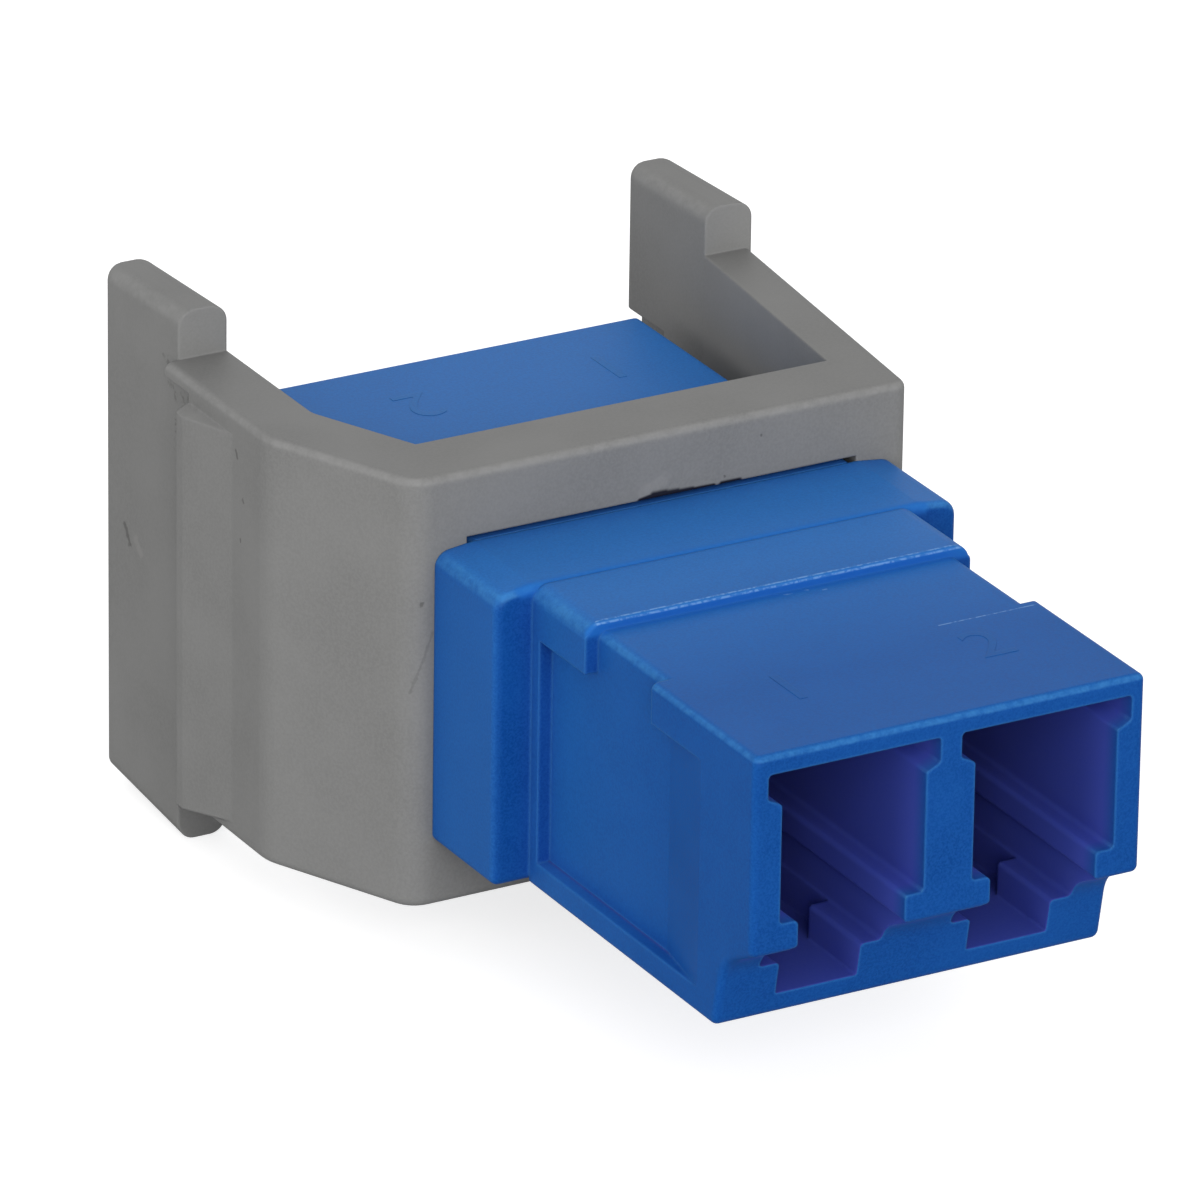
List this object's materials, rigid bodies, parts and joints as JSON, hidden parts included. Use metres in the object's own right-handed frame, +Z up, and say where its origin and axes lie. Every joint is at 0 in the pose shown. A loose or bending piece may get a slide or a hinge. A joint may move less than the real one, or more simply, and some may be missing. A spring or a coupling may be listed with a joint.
{
  "type": "lc fibre adapter",
  "caption": "Duplex fibre-optic coupler with square plug mouths at both ends, clipped through the window of a snap-in panel bracket with hooked wings.",
  "frame": {"origin": "bottom centre of the bounding box: middle of the width and depth, at the foot of the lower hooks", "axes": "+X across the ports, +Y from the near mouth to the far mouth, +Z up, from the latch side to the roof"},
  "size_m": [0.0212, 0.0326, 0.017],
  "materials": {
    "bracket": "satin grey moulding",
    "housing": "satin blue moulding",
    "ceramic": "polished white ceramic"
  },
  "bodies": {
    "root": {"bracket": "bracket", "near_housing": "housing", "far_housing": "housing", "sleeve_left": "ceramic", "sleeve_right": "ceramic"}
  },
  "joints": []
}
